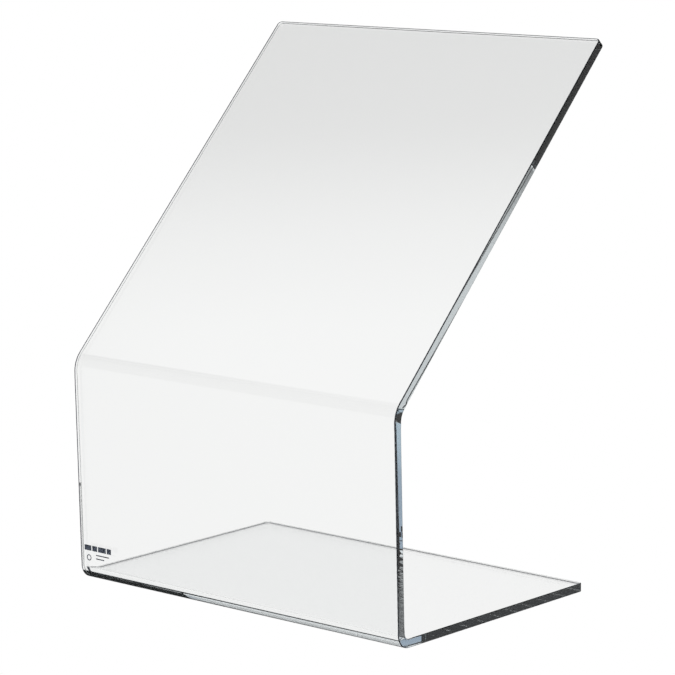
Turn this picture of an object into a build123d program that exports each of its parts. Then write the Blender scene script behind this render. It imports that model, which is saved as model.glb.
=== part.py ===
from build123d import *

import os
from math import cos, radians, sin, tan

# Benchtop shield: one sheet of clear cast acrylic with two line bends.
# The flat base lies under the work, the upright stands at its front edge,
# and the viewing panel leans back over the base from the shoulder bend.
# The foot bend stops just short of square, so the upright tips a little forward.
# A small maker's mark is printed on the upright, low on its left.
#
# Millimetres and degrees. +X is to the right of somebody at the front,
# +Y is away from them, +Z is up. The origin is under the middle of the shield.

# Sheet stock
sheet_width = 457.0
sheet_thickness = 9.5
corner_radius = 5.0  # the four free corners, in the plane of the sheet
edge_ease = 0.9  # flat at 45 degrees along every long arris

# Folded shape, along the front face of the sheet
base_depth = 305.0  # foot of the front face to the rear edge
upright_length = 243.5  # from the floor to the line where its plane meets the panel's
upright_tip = 1.0  # forward from the vertical
panel_length = 483.0  # from the shoulder line to the top edge
panel_lean = 44.0  # back from the vertical
foot_inner_radius = 6.5
shoulder_inner_radius = 20.5

# Printed mark: a row of blocks over a ring and two rules
ink_film = 0.1
mark_inset = 6.5  # from the sheet's left edge
mark_width = 41.0
block_widths = (10.5, 7.5, 12.0, 6.5)
block_height = 6.0
block_row = 37.0  # height of the blocks' middle
ring_diameter = 7.0
ring_stroke = 1.1
ring_inset = 6.5  # from the mark's left to the ring's middle
ring_row = 26.0
rule_inset = 17.5  # from the mark's left
rule_stroke = 1.2
rule_rows = (30.0, 26.0)
rule_lengths = (20.0, 12.5)

# Lengths that follow from these
foot_outer_radius = foot_inner_radius + sheet_thickness
shoulder_outer_radius = shoulder_inner_radius + sheet_thickness
shoulder_tangent = shoulder_outer_radius * tan(radians(upright_tip + panel_lean) / 2)
shoulder_reach = -upright_length * sin(radians(upright_tip))
shoulder_height = upright_length * cos(radians(upright_tip))
top_reach = shoulder_reach + panel_length * sin(radians(panel_lean))
top_height = shoulder_height + panel_length * cos(radians(panel_lean))

# The foot line's place, with the whole shield centred front to back
foremost = (shoulder_tangent - upright_length) * sin(radians(upright_tip))
foremost -= shoulder_outer_radius * (1 - cos(radians(upright_tip)))
rearmost = top_reach + sheet_thickness * cos(radians(panel_lean)) - edge_ease * sin(radians(panel_lean))
foot_y = -(foremost + rearmost) / 2

# The front face of the upright: x to the right, y up from the foot line
front_normal = (0, -cos(radians(upright_tip)), -sin(radians(upright_tip)))
front_face = Plane(origin=(0, foot_y, 0), x_dir=(1, 0, 0), z_dir=front_normal)
mark_left = mark_inset - sheet_width / 2


# Sheet: its outer face as one bent line, thickened inwards and extruded across
with BuildPart() as shield_sheet:
    with BuildSketch(Plane.YZ):
        with BuildLine():
            FilletPolyline(
                (foot_y + base_depth, 0),
                (foot_y, 0),
                (foot_y + shoulder_reach, shoulder_height),
                (foot_y + top_reach, top_height),
                radius=[foot_outer_radius, shoulder_outer_radius],
            )
            offset(amount=sheet_thickness, side=Side.RIGHT)
        make_face()
    extrude(amount=sheet_width / 2, both=True)

    # Round the free corners: the arrises across the thickness at both ends
    rear_end = shield_sheet.faces().filter_by(Axis.Y).sort_by(Axis.Y)[-1]
    top_end = shield_sheet.faces().sort_by(Axis.Z)[-1]
    end_edges = rear_end.edges() + top_end.edges()
    fillet(end_edges.filter_by(Axis.X, reverse=True), radius=corner_radius)

    # Ease the rim: every edge that the cut faces share with the two broad faces
    rear_end = shield_sheet.faces().filter_by(Axis.Y).sort_by(Axis.Y)[-1]
    top_end = shield_sheet.faces().sort_by(Axis.Z)[-1]
    sides = shield_sheet.faces().filter_by(Axis.X)
    corners = shield_sheet.faces().filter_by(lambda face: face.radius == corner_radius)
    cut_faces = sides + corners + [rear_end, top_end]
    broad_faces = shield_sheet.faces() - cut_faces
    chamfer(broad_faces.edges() & cut_faces.edges(), length=edge_ease)


# Printed mark: ink films on the front face of the upright
with BuildPart() as mark_blocks:
    with BuildSketch(front_face):
        block_gap = (mark_width - sum(block_widths)) / (len(block_widths) - 1)
        block_left = mark_left
        for block_width in block_widths:
            with Locations((block_left, block_row)):
                Rectangle(block_width, block_height, align=(Align.MIN, Align.CENTER))
            block_left += block_width + block_gap
    extrude(amount=ink_film)

with BuildPart() as mark_ring:
    with BuildSketch(front_face):
        with Locations((mark_left + ring_inset, ring_row)):
            Circle(ring_diameter / 2)
            Circle(ring_diameter / 2 - ring_stroke, mode=Mode.SUBTRACT)
    extrude(amount=ink_film)

with BuildPart() as mark_rules:
    with BuildSketch(front_face):
        for rule_row, rule_length in zip(rule_rows, rule_lengths):
            with Locations((mark_left + rule_inset, rule_row)):
                Rectangle(rule_length, rule_stroke, align=(Align.MIN, Align.CENTER))
    extrude(amount=ink_film)


# One STEP file for each piece
os.makedirs("parts", exist_ok=True)
shield_sheet.part.label = "shield_sheet"
export_step(shield_sheet.part, "parts/shield_sheet.step")
mark_blocks.part.label = "mark_blocks"
export_step(mark_blocks.part, "parts/mark_blocks.step")
mark_ring.part.label = "mark_ring"
export_step(mark_ring.part, "parts/mark_ring.step")
mark_rules.part.label = "mark_rules"
export_step(mark_rules.part, "parts/mark_rules.step")
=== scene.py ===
from math import cos, hypot, pi, radians, sin, tan

import bpy
import numpy as np
from mathutils import Matrix, Vector

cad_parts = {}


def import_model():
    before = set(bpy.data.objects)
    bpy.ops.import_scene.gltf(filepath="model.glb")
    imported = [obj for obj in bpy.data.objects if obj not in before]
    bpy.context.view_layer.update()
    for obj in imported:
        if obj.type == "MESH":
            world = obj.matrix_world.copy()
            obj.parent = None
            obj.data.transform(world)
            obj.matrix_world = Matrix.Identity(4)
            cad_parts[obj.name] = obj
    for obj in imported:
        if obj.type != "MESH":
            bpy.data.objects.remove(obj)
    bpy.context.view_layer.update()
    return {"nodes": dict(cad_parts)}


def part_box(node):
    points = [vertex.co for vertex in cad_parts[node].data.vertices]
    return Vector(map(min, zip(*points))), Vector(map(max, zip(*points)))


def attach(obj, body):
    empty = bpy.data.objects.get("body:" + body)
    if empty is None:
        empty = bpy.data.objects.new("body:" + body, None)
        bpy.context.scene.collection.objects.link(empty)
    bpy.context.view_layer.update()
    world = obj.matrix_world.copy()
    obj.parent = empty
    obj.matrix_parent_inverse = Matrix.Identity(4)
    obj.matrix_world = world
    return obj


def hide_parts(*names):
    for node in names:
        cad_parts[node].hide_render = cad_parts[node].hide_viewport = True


# Benchtop shield: one bent sheet of clear cast acrylic with a small printed mark.
# Metres and degrees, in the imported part's frame: +X right, +Y away from the front, +Z up.

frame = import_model()
sheet_low, sheet_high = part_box("shield_sheet")

# Sheet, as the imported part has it
sheet_width = sheet_high.x - sheet_low.x
sheet_thickness = 0.0095
corner_radius = 0.005
base_depth = 0.305
upright_length = 0.2435
upright_tip = 1.0  # forward from the vertical
panel_length = 0.483
panel_lean = 44.0  # back from the vertical
foot_radius = 0.016
shoulder_radius = 0.030

# Edges, as line bending and hand finishing leave them
film_bond = 0.00002  # the faces stand this much proud, so the ink is sunk into them
arris_radius = 0.0009  # every edge is eased to a small round
arris_wave = 0.10  # share by which that round varies
scrape_pitch = 0.0075  # chatter of the edge scraper
scrape_depth = 0.000012
edge_shade_margin = 0.0009  # width of the painted dark shade band over the outer face at each edge, least along +X
edge_shade_fade = 0.0001
bend_bulge = 0.00035  # cut face pushed out at the inside of a bend
bend_pinch = 0.00015  # and drawn in at its outside
bend_fade = 0.008  # how far beyond a bend that reaches

# Mesh steps
corner_steps = 8
arris_steps = 8
rim_step = 0.0015
bend_step = 2.25  # degrees

# Looks of the sheet and the ink
clear_tone = (0.985, 0.99, 0.99, 1)
rim_tone = (0.955, 0.972, 0.978, 1)
painted_edge_shade_tone = (0.010, 0.012, 0.016, 1)  # painted shade on the outer corner: near black, lets little light through
rim_haze = 0.05  # most roughness that buffing left on the rim
face_haze = 0.006  # and that wiping left on the faces
depth_tint = (0.80, 0.90, 0.93, 1)  # left of white after a metre of acrylic
thin_ink = (0.30, 0.35, 0.46, 1)
full_ink = (0.46, 0.52, 0.63, 1)


# ---------------------------------------------------------------- the bent sheet

foot_turn = 90 - upright_tip
shoulder_turn = upright_tip + panel_lean


def bend_tangent(radius, angle):
    return radius * tan(radians(angle) / 2)


def sheet_segments():
    """The outer face from the rear edge to the top edge: (length, turn in degrees) of each stretch."""
    foot = bend_tangent(foot_radius, foot_turn)
    shoulder = bend_tangent(shoulder_radius, shoulder_turn)
    return [
        (base_depth - foot, 0),
        (foot_radius * radians(foot_turn), foot_turn),
        (upright_length - foot - shoulder, 0),
        (shoulder_radius * radians(shoulder_turn), shoulder_turn),
        (panel_length - shoulder, 0),
    ]


def front_overhang():
    """How far the shoulder bend comes out in front of the foot line."""
    straight = upright_length - bend_tangent(shoulder_radius, shoulder_turn)
    return straight * sin(radians(upright_tip)) + shoulder_radius * (1 - cos(radians(upright_tip)))


segments = sheet_segments()
sheet_length = sum(length for length, turn in segments)
foot_y = sheet_low.y + front_overhang()


def section(station):
    """Point (y, z), tangent and outward normal of the outer face at a station."""
    y, z, heading = foot_y + base_depth, 0.0, radians(180)
    for index, (length, turn) in enumerate(segments):
        last = index == len(segments) - 1
        run = station if last else min(station, length)
        if turn:
            radius = length / radians(turn)
            after = heading - run / radius
            y += radius * (-sin(after) + sin(heading))
            z += radius * (cos(after) - cos(heading))
            heading = after
        else:
            y += run * cos(heading)
            z += run * sin(heading)
        station -= run
        if not last and station <= 0:
            break
    tangent = (cos(heading), sin(heading))
    return (y, z), tangent, (-sin(heading), cos(heading))


def bend_weight(station):
    """1 within a bend, easing to 0 a little beyond it."""
    start, weight = 0.0, 0.0
    for length, turn in segments:
        if turn:
            beyond = max(start - station, station - start - length, 0.0)
            weight = max(weight, 0.5 + 0.5 * cos(pi * min(beyond / bend_fade, 1)))
        start += length
    return weight


def row_stations():
    """Stations of the rows between the two corner arcs, each stretch divided evenly."""
    stations, start = [], 0.0
    for index, (length, turn) in enumerate(segments):
        low = corner_radius if index == 0 else start
        high = start + length - (corner_radius if index == len(segments) - 1 else 0)
        if turn:
            count = round(turn / bend_step)
        else:
            count = round((high - low) / rim_step)
        stations += [low + (high - low) * k / count for k in range(count)]
        start += length
    return stations + [sheet_length - corner_radius]


def outline():
    """Closed outline of the flat sheet as (x, station, normal x, normal along), and the row indices."""
    half = sheet_width / 2
    reach = half - corner_radius
    along = sheet_length - corner_radius
    turns = [pi / 2 * k / corner_steps for k in range(corner_steps + 1)]
    side = [
        (reach + corner_radius * sin(t), corner_radius * (1 - cos(t)), sin(t), -cos(t)) for t in turns[:-1]
    ]
    side += [(half, station, 1.0, 0.0) for station in row_stations()]
    side += [
        (reach + corner_radius * cos(t), along + corner_radius * sin(t), cos(t), sin(t)) for t in turns[1:]
    ]
    count = round(2 * reach / rim_step)
    across = [reach - 2 * reach * k / count for k in range(1, count)]
    top = [(x, sheet_length, 0.0, 1.0) for x in across]
    mirrored = [(-x, s, -nx, ns) for x, s, nx, ns in reversed(side)]
    rear = [(-x, 0.0, 0.0, -1.0) for x in across]
    return side + top + mirrored + rear, len(side), len(top)


def rim_profile(radius, margin):
    """Rim from the outer to the inner face: (inset, depth, normal outward, normal towards the outer face)."""
    outer = [(radius + margin + edge_shade_fade, 0.0, 0.0, 1.0), (radius + margin, 0.0, 0.0, 1.0)]
    for step in range(arris_steps + 1):
        angle = pi / 2 * step / arris_steps
        outer.append((radius * (1 - sin(angle)), radius * (1 - cos(angle)), sin(angle), cos(angle)))
    inner = [(inset, sheet_thickness - depth, out, -up) for inset, depth, out, up in reversed(outer[2:])]
    return outer + [(0.0, sheet_thickness / 2, 1.0, 0.0)] + inner


def scraper_wave(length, seed):
    """Uneven chatter along the rim, between about -1 and 1."""
    phase = 2 * pi * length / scrape_pitch
    drift = 0.9 * sin(phase / 13 + seed) + 0.6 * sin(phase / 5.3 + 2 * seed)
    return 0.7 * sin(phase + drift) + 0.3 * sin(2.37 * phase + 3 * seed)


def rim_points(loop):
    """Points, normals, the "rim" values and the painted edge-shade values of the rim's rows, round the
    outline.
    """
    points, normals, rims, edge_shades = [], [], [], []
    travelled = 0.0
    for index, (x, station, nx, ns) in enumerate(loop):
        before = loop[index - 1]
        if index:
            travelled += hypot(x - before[0], station - before[1])
        radius = arris_radius * (1 + arris_wave * scraper_wave(travelled, 1.7))
        scrape = scrape_depth * (1 + scraper_wave(travelled, 0.4)) / 2
        bulge = bend_weight(station) * abs(nx)
        # the margin sets how far the painted dark edge shade reaches over the outer face
        margin = edge_shade_margin * (1.1 - max(nx, 0.6 * ns, 0.0))
        for row, (inset, depth, out, up) in enumerate(rim_profile(radius, margin)):
            share = depth / sheet_thickness
            push = bulge * (bend_bulge * share - bend_pinch * (1 - share)) - scrape * out
            shift = inset - push
            at, tangent, normal = section(station - shift * ns)
            lift = -depth
            if depth <= 0:
                lift += film_bond
            if depth >= sheet_thickness:
                lift -= film_bond
            points.append((x - shift * nx, at[0] + lift * normal[0], at[1] + lift * normal[1]))
            normals.append((
                out * nx,
                out * ns * tangent[0] + up * normal[0],
                out * ns * tangent[1] + up * normal[1],
            ))
            rims.append(min(1.0, abs(out) * 1.5))
            # 1 on the rows painted dark as edge shade
            edge_shades.append(1.0 if 0 < row < arris_steps + 2 else 0.0)
    shape = (len(loop), len(points) // len(loop), 3)
    return np.array(points).reshape(shape), np.array(normals).reshape(shape), rims, edge_shades


def tilted(grid, normals):
    """The normals tilted with the scraper's waves, but for the rows that border the two faces."""
    along = np.roll(grid, -1, axis=0) - np.roll(grid, 1, axis=0)
    along /= np.linalg.norm(along, axis=2, keepdims=True)
    turned = normals - along * (normals * along).sum(axis=2, keepdims=True)
    turned[:, 0] = normals[:, 0]
    turned[:, -1] = normals[:, -1]
    return turned / np.linalg.norm(turned, axis=2, keepdims=True)


def sheet_faces(count, rows, side_count, top_count):
    """Quads round the rim, then the outer and the inner face in strips from side to side."""
    def vertex(i, j):
        return (i % count) * rows + j

    faces = []
    for i in range(count):
        for j in range(rows - 1):
            faces.append((vertex(i, j), vertex(i, j + 1), vertex(i + 1, j + 1), vertex(i + 1, j)))
    first_left = side_count + top_count
    last_left = first_left + side_count - 1
    for j, flip in ((0, False), (rows - 1, True)):
        strips = []
        for k in range(1, side_count - 2):
            across = last_left - k
            strips.append([vertex(i, j) for i in (k, k + 1, across - 1, across)])
        strips.append([vertex(i, j) for i in range(side_count - 2, first_left + 2)])
        strips.append([vertex(i, j) for i in range(last_left - 1, count + 2)])
        for strip in strips:
            faces.append(strip[::-1] if flip else strip)
    return faces


def sheet_mesh():
    loop, side_count, top_count = outline()
    grid, normals, rims, edge_shades = rim_points(loop)
    count, rows = grid.shape[:2]
    mesh = bpy.data.meshes.new("acrylic_sheet")
    mesh.from_pydata(grid.reshape(-1, 3).tolist(), [], sheet_faces(count, rows, side_count, top_count))
    mesh.validate()
    mesh.shade_smooth()
    mesh.normals_split_custom_set_from_vertices(tilted(grid, normals).reshape(-1, 3).tolist())
    for name, values in (("rim", rims), ("ease", edge_shades)):
        mesh.attributes.new(name, "FLOAT", "POINT").data.foreach_set("value", values)
    return mesh


# ---------------------------------------------------------------- nodes

def wire(tree, socket, value):
    """Give a socket a number or a colour, or link an output to it."""
    if isinstance(value, (int, float, tuple)):
        socket.default_value = value
    else:
        tree.links.new(value, socket)


def maths(tree, operation, *values):
    node = tree.nodes.new("ShaderNodeMath")
    node.operation = operation
    for socket, value in zip(node.inputs, values):
        wire(tree, socket, value)
    return node.outputs[0]


def product(tree, first, *others):
    for other in others:
        first = maths(tree, "MULTIPLY", first, other)
    return first


def between(tree, value, low, high):
    """1 while the value is between the two."""
    return maths(tree, "COMPARE", value, (low + high) / 2, (high - low) / 2)


def rise(tree, value, low, high, to_low=0.0, to_high=1.0):
    """Smooth change from to_low to to_high while the value goes from low to high."""
    node = tree.nodes.new("ShaderNodeMapRange")
    node.interpolation_type = "SMOOTHSTEP"
    for name, number in (("From Min", low), ("From Max", high), ("To Min", to_low), ("To Max", to_high)):
        node.inputs[name].default_value = number
    tree.links.new(value, node.inputs["Value"])
    return node.outputs["Result"]


def fall(tree, value, low, high, from_high=1.0):
    return rise(tree, value, low, high, from_high, 0.0)


def noise(tree, scale, stretch=(1, 1, 1), detail=3.0):
    """Noise in the piece's own metres, stretched along an axis by a small factor there."""
    place = tree.nodes.new("ShaderNodeTexCoord")
    mapping = tree.nodes.new("ShaderNodeMapping")
    mapping.inputs["Scale"].default_value = stretch
    node = tree.nodes.new("ShaderNodeTexNoise")
    node.inputs["Scale"].default_value = scale
    node.inputs["Detail"].default_value = detail
    tree.links.new(place.outputs["Object"], mapping.inputs["Vector"])
    tree.links.new(mapping.outputs["Vector"], node.inputs["Vector"])
    return node.outputs["Fac"]


def attribute(tree, name):
    node = tree.nodes.new("ShaderNodeAttribute")
    node.attribute_name = name
    return node.outputs["Fac"]


def blend(tree, share, first, second, kind="RGBA"):
    node = tree.nodes.new("ShaderNodeMix")
    node.data_type = kind
    for name, value in (("Factor", share), ("A", first), ("B", second)):
        wire(tree, node.inputs[name], value)
    return node.outputs["Result"]


def shader_blend(tree, share, first, second):
    node = tree.nodes.new("ShaderNodeMixShader")
    for socket, value in zip(node.inputs, (share, first.outputs[0], second.outputs[0])):
        wire(tree, socket, value)
    return node


def colour_stops(tree, value, reach, stops):
    """Colour ramp through the stops, each a (value, colour), up to the reach."""
    node = tree.nodes.new("ShaderNodeValToRGB")
    elements = node.color_ramp.elements
    while len(elements) < len(stops):
        elements.new(0.5)
    for element, (at, colour) in zip(elements, stops):
        element.position = at / reach
        element.color = (*colour, 1)
    tree.links.new(maths(tree, "DIVIDE", value, reach), node.inputs["Fac"])
    return node


# ---------------------------------------------------------------- materials

def new_material(name):
    material = bpy.data.materials.new(name)
    material.use_nodes = True
    tree = material.node_tree
    return material, tree, tree.nodes["Principled BSDF"].inputs


def acrylic_material():
    """Clear as cast on its faces; the rim is buffed, a touch cooler and less even, its outer corner painted
    near black as shade for the dark outline.
    """
    material, tree, shader = new_material("clear_acrylic_polished")
    shader["Transmission Weight"].default_value = 1.0
    shader["IOR"].default_value = 1.49
    rim = attribute(tree, "rim")
    tone = blend(tree, rim, clear_tone, rim_tone)
    # the outer corner is painted near black: painted shade standing in for the dark outline of the edges
    tree.links.new(blend(tree, attribute(tree, "ease"), tone, painted_edge_shade_tone), shader["Base Color"])
    # buffing left fine hazy patches, more on the rim than in the wipe marks on the faces
    buffed = rise(tree, noise(tree, 160.0, (1, 0.25, 0.25)), 0.35, 0.75, 0.0, rim_haze)
    wiped = rise(tree, noise(tree, 9.0, (0.3, 1, 1)), 0.62, 0.8, 0.0, face_haze)
    tree.links.new(blend(tree, rim, wiped, buffed, "FLOAT"), shader["Roughness"])
    absorption = tree.nodes.new("ShaderNodeVolumeAbsorption")
    absorption.inputs["Color"].default_value = depth_tint
    absorption.inputs["Density"].default_value = 1.0
    tree.links.new(absorption.outputs["Volume"], tree.nodes["Material Output"].inputs["Volume"])
    return material


def ink_material():
    """Screen-printed grey-blue ink, thin enough to come out a little uneven."""
    material, tree, shader = new_material("printed_ink_matte")
    shader["Transmission Weight"].default_value = 0.48
    cover = rise(tree, noise(tree, 900.0, detail=5.0), 0.3, 0.7)
    tree.links.new(blend(tree, cover, thin_ink, full_ink), shader["Base Color"])
    tree.links.new(rise(tree, noise(tree, 400.0), 0.3, 0.7, 0.45, 0.65), shader["Roughness"])
    return material


# ---------------------------------------------------------------- stage

# The studio is a white cut-out: whatever the camera sees beside the shield is plain white.
# Straight through the panes it sees the pale floor, glowing with a painted pool of light, and pale walls.
# What the shield reflects, and what it pipes to its edges from far round, is the room itself:
# dark, with a bright backdrop behind the left of the shield and a polished dark table.
piped_depth = 5.5  # surfaces met on the way; two panes have four

# Floor: a painted pool of light that the floor itself glows with, by the distance from the middle, and the
# table's painted shade by the distance from the foot
pool_levels = ((0.0, 0.96), (1.6, 0.965), (2.3, 0.915), (3.2, 0.905), (4.6, 0.865), (7.0, 0.855))
pool_reach = 8.0
# painted shade: the table is painted darker and bluer near the left of the shield's foot, plain further off
near_painted_shade, far_painted_shade, clear_tint = (0.42, 0.50, 0.60), (0.56, 0.67, 0.76), (0.92, 0.92, 0.91)
table_shade_tints = ((0.0, near_painted_shade), (0.42, near_painted_shade), (0.63, far_painted_shade), (0.85, far_painted_shade), (1.6, clear_tint))
tint_reach = 4.0
plain_table = (0.9, 0.9, 0.9, 1)  # under the shield
dark_table = (0.025, 0.026, 0.030, 1)  # seen steeply
table_roughness = 0.1
floor_radius, floor_spokes, floor_gap = 14.0, 96, 0.0003

# Room: each lamp's ends, by a direction's bearing from +Y towards -X in degrees, or by its y or z
horizon_fade, horizon_light = (0.08, 0.2), 1.05
backdrop_right, backdrop_left = (15.0, 25.0), (47.0, 50.0)
backdrop_foot, backdrop_head = (0.095, 0.165), (0.45, 0.6)
softbox_front, softbox_back, softbox_foot, softbox_light = (-0.28, -0.25), (-0.178, -0.124), (0.6, 0.7), 0.80
fill_bearings, fill_foot, fill_light = (45.0, 75.0), (0.5, 0.6), 0.4
side_bearings, side_heights, side_light = (-65.0, -25.0), (0.05, 0.4), 0.85
side_depths = (6.2, 6.8)  # surfaces met by which the side panel fades out
room_light = 0.03


def light_path(tree):
    """The ray, and 1 for one that was reflected last or has been piped inside the sheet."""
    ray = tree.nodes.new("ShaderNodeLightPath").outputs
    piped = maths(tree, "GREATER_THAN", ray["Ray Depth"], piped_depth)
    return ray, maths(tree, "MAXIMUM", piped, ray["Is Reflection Ray"])


def table(tree, place):
    """Polished table, with a painted blue-grey shade left of the shield, darkest near its foot."""
    apart = tree.nodes.new("ShaderNodeVectorMath")
    apart.operation = "DISTANCE"
    tree.links.new(place, apart.inputs[0])
    apart.inputs[1].default_value = (sheet_low.x, foot_y, 0)
    # painted shade on the table near the shield, mixed into the colour of its polish
    tint = colour_stops(tree, apart.outputs["Value"], tint_reach, table_shade_tints)
    split = tree.nodes.new("ShaderNodeSeparateXYZ")
    tree.links.new(place, split.inputs[0])
    under = rise(tree, split.outputs["X"], sheet_low.x - 0.01, sheet_low.x + 0.02)
    polish = tree.nodes.new("ShaderNodeBsdfGlossy")
    tree.links.new(blend(tree, under, tint.outputs["Color"], plain_table), polish.inputs["Color"])
    polish.inputs["Roughness"].default_value = table_roughness
    dark = tree.nodes.new("ShaderNodeBsdfDiffuse")
    dark.inputs["Color"].default_value = dark_table
    graze = tree.nodes.new("ShaderNodeLayerWeight")
    return shader_blend(tree, rise(tree, graze.outputs["Facing"], 0.35, 0.75), dark, polish)


def floor_material():
    material = bpy.data.materials.new("studio_floor")
    material.use_nodes = True
    tree = material.node_tree
    tree.nodes.clear()
    place = tree.nodes.new("ShaderNodeNewGeometry").outputs["Position"]
    middle = tree.nodes.new("ShaderNodeVectorMath")
    middle.operation = "LENGTH"
    tree.links.new(place, middle.inputs[0])
    levels = [(at, (level, level, level * 0.995)) for at, level in pool_levels]
    ramp = colour_stops(tree, middle.outputs["Value"], pool_reach, levels)
    ramp.color_ramp.interpolation = "B_SPLINE"
    # the floor glows by itself: a painted pool of light, brightest in the middle
    pool = tree.nodes.new("ShaderNodeEmission")
    tree.links.new(ramp.outputs["Color"], pool.inputs["Color"])
    white = tree.nodes.new("ShaderNodeEmission")
    ray, room = light_path(tree)
    lit = shader_blend(tree, ray["Is Camera Ray"], pool, white)
    output = tree.nodes.new("ShaderNodeOutputMaterial")
    tree.links.new(shader_blend(tree, room, lit, table(tree, place)).outputs[0], output.inputs["Surface"])
    return material


def studio_floor():
    turns = [2 * pi * k / floor_spokes for k in range(floor_spokes)]
    points = [(floor_radius * cos(turn), floor_radius * sin(turn), -floor_gap) for turn in turns]
    mesh = bpy.data.meshes.new("studio_floor")
    mesh.from_pydata(points, [], [list(range(floor_spokes))])
    mesh.materials.append(floor_material())
    piece = bpy.data.objects.new("studio_floor", mesh)
    bpy.context.scene.collection.objects.link(piece)


def room_lamps(tree, direction, bearing, ray):
    """Strength of the dark room's light in a direction."""
    y, z = direction["Y"], direction["Z"]
    backdrop = product(
        tree,
        fall(tree, bearing, *backdrop_left),
        rise(tree, bearing, *backdrop_right),
        rise(tree, z, *backdrop_foot),
        fall(tree, z, *backdrop_head),
    )
    # softbox above the left of the shield, narrow from front to back
    softbox = product(
        tree,
        fall(tree, y, *softbox_back, softbox_light),
        rise(tree, y, *softbox_front),
        rise(tree, z, *softbox_foot),
    )
    # dim panel up on the left, that the foot of the right edge shows
    fill = product(tree, rise(tree, z, *fill_foot), between(tree, bearing, *fill_bearings), fill_light)
    # upright panel on the right, that the base mirrors into the left edge
    side = product(
        tree,
        between(tree, bearing, *side_bearings),
        between(tree, z, *side_heights),
        fall(tree, ray["Ray Depth"], *side_depths),
        side_light,
    )
    lamps = backdrop
    for lamp in (softbox, fill, side):
        lamps = maths(tree, "MAXIMUM", lamps, lamp)
    return maths(tree, "ADD", lamps, room_light)


def world():
    made = bpy.data.worlds.new("studio")
    bpy.context.scene.world = made
    made.use_nodes = True
    tree = made.node_tree
    tree.nodes.clear()
    place = tree.nodes.new("ShaderNodeTexCoord")
    split = tree.nodes.new("ShaderNodeSeparateXYZ")
    tree.links.new(place.outputs["Generated"], split.inputs[0])
    direction = split.outputs
    left = maths(tree, "MULTIPLY", direction["X"], -1.0)
    bearing = maths(tree, "DEGREES", maths(tree, "ARCTAN2", left, direction["Y"]))
    ray, room = light_path(tree)
    lamps = room_lamps(tree, direction, bearing, ray)
    horizon = fall(tree, direction["Z"], *horizon_fade, horizon_light)
    pale, dark, white = (tree.nodes.new("ShaderNodeBackground") for _ in range(3))
    tree.links.new(maths(tree, "MAXIMUM", horizon, lamps), pale.inputs["Strength"])
    tree.links.new(lamps, dark.inputs["Strength"])
    white.inputs["Color"].default_value = (1, 1, 1, 1)
    shown = shader_blend(tree, ray["Is Camera Ray"], shader_blend(tree, room, pale, dark), white)
    output = tree.nodes.new("ShaderNodeOutputWorld")
    tree.links.new(shown.outputs[0], output.inputs["Surface"])


def camera():
    azimuth, elevation, roll = radians(41.585), radians(9.979), radians(-0.551)  # of the photograph
    aim, distance = Vector((0.0297, -0.0308, 0.2782)), 3.2354
    data = bpy.data.cameras.new("camera")
    data.sensor_width = 36
    data.lens = 162.79
    data.clip_end = 100
    turned = Matrix.Rotation(azimuth, 4, "Z") @ Matrix.Rotation(pi / 2 - elevation, 4, "X")
    turned = turned @ Matrix.Rotation(roll, 4, "Z")
    viewer = bpy.data.objects.new("camera", data)
    viewer.matrix_world = Matrix.Translation(aim) @ turned @ Matrix.Translation((0, 0, distance))
    bpy.context.scene.collection.objects.link(viewer)
    bpy.context.scene.camera = viewer


# ---------------------------------------------------------------- making

camera()
world()
studio_floor()

scene = bpy.context.scene
scene.view_settings.view_transform = "Standard"
light_bounces = 96  # light is piped a long way through the sheet
scene.cycles.max_bounces = light_bounces
scene.cycles.transmission_bounces = light_bounces
scene.cycles.glossy_bounces = light_bounces

sheet = bpy.data.objects.new("acrylic_sheet", sheet_mesh())
scene.collection.objects.link(sheet)
sheet.data.materials.append(acrylic_material())
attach(sheet, "root")
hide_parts("shield_sheet")

ink = ink_material()
for node in ("mark_blocks", "mark_ring", "mark_rules"):
    for held in frame["nodes"][node].material_slots:
        held.material = ink
